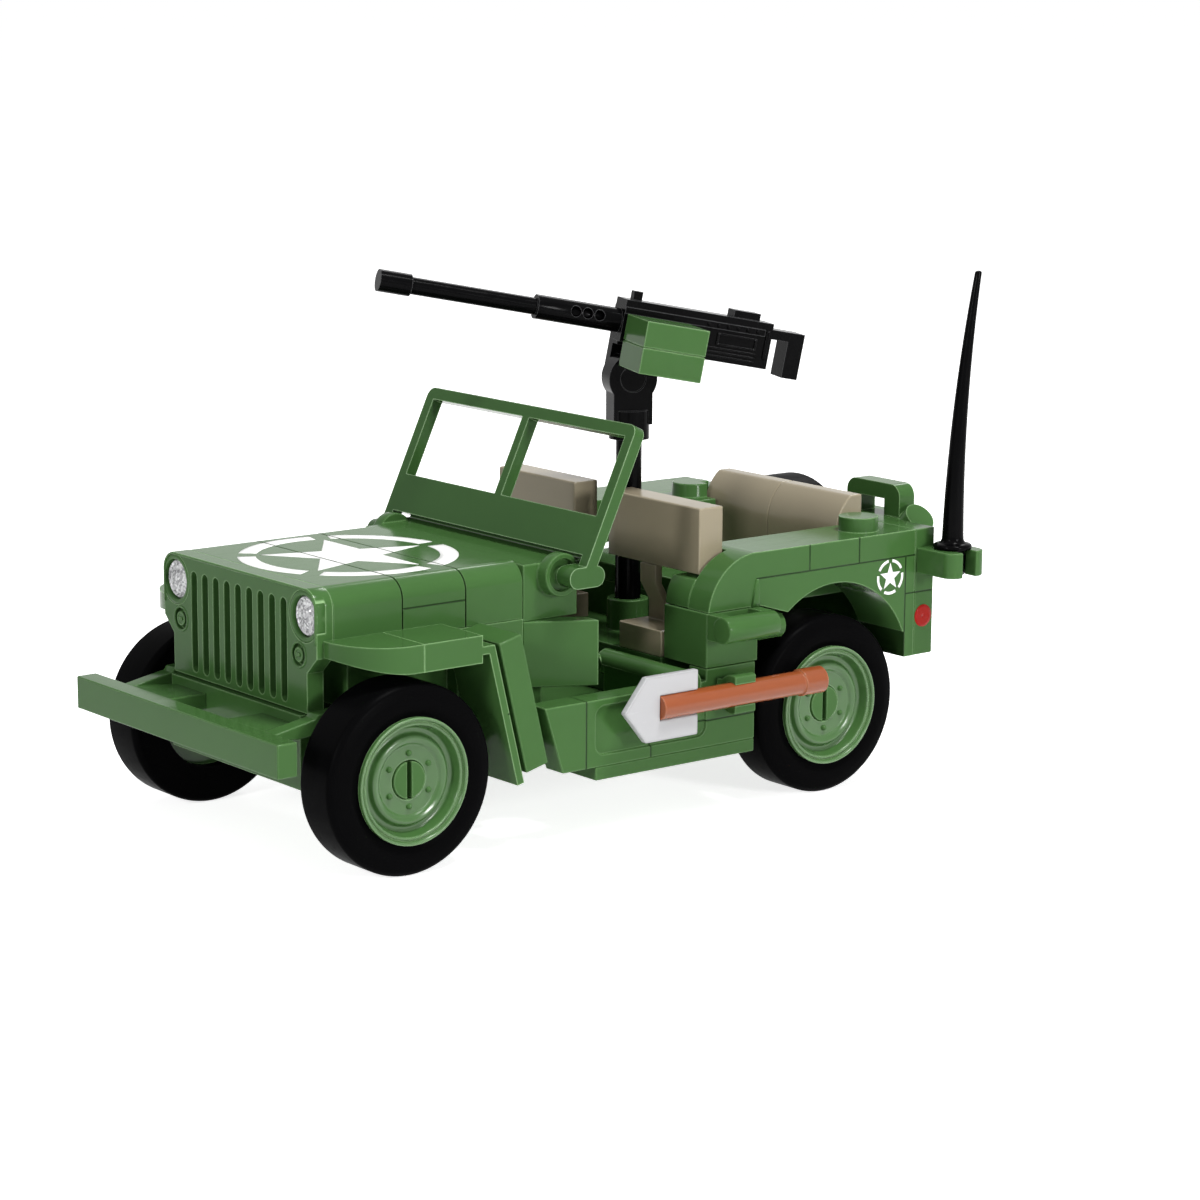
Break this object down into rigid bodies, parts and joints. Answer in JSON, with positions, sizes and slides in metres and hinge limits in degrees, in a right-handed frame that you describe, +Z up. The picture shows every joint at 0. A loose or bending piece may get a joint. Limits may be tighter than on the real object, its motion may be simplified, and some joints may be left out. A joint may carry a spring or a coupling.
{
  "type": "toy four wheel drive army car",
  "caption": "Brick-built toy army car in green plastic with an open cabin, folding windscreen, turning toy gun on a post, spade, spare wheel and whip aerial.",
  "frame": {"origin": "under the middle of the whole toy, on the ground", "axes": "-Y is the car's front, +X its left side, +Z up"},
  "size_m": [0.0546, 0.1026, 0.0636],
  "materials": {
    "green_plastic": "glossy army green moulded plastic",
    "tan_plastic": "satin tan moulded plastic",
    "black_plastic": "glossy black moulded plastic",
    "tyre": "smooth black rubber",
    "grey_plastic": "light grey plastic",
    "brown_plastic": "reddish brown plastic",
    "clear_lens": "clear plastic over silver"
  },
  "bodies": {
    "car_body": {"antenna": "black_plastic", "antenna_bracket": "green_plastic", "base_plate": "green_plastic", "bed_floor": "green_plastic", "bench_left_part": "tan_plastic", "bench_right_part": "tan_plastic", "bumper": "green_plastic", "cowl": "green_plastic", "deck_brick": "green_plastic", "front_axle": "green_plastic", "front_chassis_beam": "green_plastic", "fuel_can": "green_plastic", "grille_front": "green_plastic", "gun_post": "black_plastic", "hood_front": "green_plastic", "hood_middle": "green_plastic", "hood_rear": "green_plastic", "left_arm_plate": "green_plastic", "left_cowl_cheek": "green_plastic", "left_fender_flap": "green_plastic", "left_front_fender": "green_plastic", "left_headlamp_lens": "clear_lens", "left_mudguard": "green_plastic", "left_rear_side": "green_plastic", "left_seat_back": "tan_plastic", "left_seat_base": "tan_plastic", "left_sill": "green_plastic", "left_step_bar": "green_plastic", "rear_axle": "green_plastic", "rear_chassis_beam": "green_plastic", "rear_wall": "green_plastic", "right_arm_plate": "green_plastic", "right_cowl_cheek": "green_plastic", "right_fender_flap": "green_plastic", "right_front_fender": "green_plastic", "right_headlamp_lens": "clear_lens", "right_mudguard": "green_plastic", "right_rear_side": "green_plastic", "right_seat_back": "tan_plastic", "right_seat_base": "tan_plastic", "right_sill": "green_plastic", "seat_block": "green_plastic", "spade_blade": "grey_plastic", "spade_handle": "brown_plastic", "tool_clip": "green_plastic"},
    "front_left_wheel": {"front_left_tyre": "tyre", "front_left_rim": "green_plastic"},
    "front_right_wheel": {"front_right_tyre": "tyre", "front_right_rim": "green_plastic"},
    "rear_left_wheel": {"rear_left_tyre": "tyre", "rear_left_rim": "green_plastic"},
    "rear_right_wheel": {"rear_right_tyre": "tyre", "rear_right_rim": "green_plastic"},
    "spare_wheel": {"spare_tyre": "tyre", "spare_rim": "green_plastic"},
    "windscreen": {"windscreen": "green_plastic"},
    "gun_head": {"gun_head": "black_plastic"},
    "gun": {"gun": "black_plastic", "ammunition_box": "green_plastic"}
  },
  "joints": [
    {"name": "front_left_wheel_spin", "type": "hinge", "parent": "car_body", "child": "front_left_wheel", "pos_m": [-0.0029, -0.0351, 0.011], "axis": [1, 0, 0], "continuous": true},
    {"name": "front_right_wheel_spin", "type": "hinge", "parent": "car_body", "child": "front_right_wheel", "pos_m": [-0.0029, -0.0351, 0.011], "axis": [1, 0, 0], "continuous": true},
    {"name": "rear_left_wheel_spin", "type": "hinge", "parent": "car_body", "child": "rear_left_wheel", "pos_m": [-0.0029, 0.0269, 0.011], "axis": [1, 0, 0], "continuous": true},
    {"name": "rear_right_wheel_spin", "type": "hinge", "parent": "car_body", "child": "rear_right_wheel", "pos_m": [-0.0029, 0.0269, 0.011], "axis": [1, 0, 0], "continuous": true},
    {"name": "spare_wheel_spin", "type": "hinge", "parent": "car_body", "child": "spare_wheel", "pos_m": [-0.0109, 0.0441, 0.0222], "axis": [0, 1, 0], "continuous": true},
    {"name": "windscreen_fold", "type": "hinge", "parent": "car_body", "child": "windscreen", "pos_m": [-0.0029, -0.0092, 0.03025], "axis": [1, 0, 0], "range_deg": [0, 85]},
    {"name": "gun_traverse", "type": "hinge", "parent": "car_body", "child": "gun_head", "pos_m": [-0.0029, 0.0147, 0.042], "axis": [0, 0, 1], "continuous": true},
    {"name": "gun_elevation", "type": "hinge", "parent": "gun_head", "child": "gun", "pos_m": [-0.0029, 0.0147, 0.0495], "axis": [0.9336, -0.3584, 0], "range_deg": [-19, 14]}
  ]
}
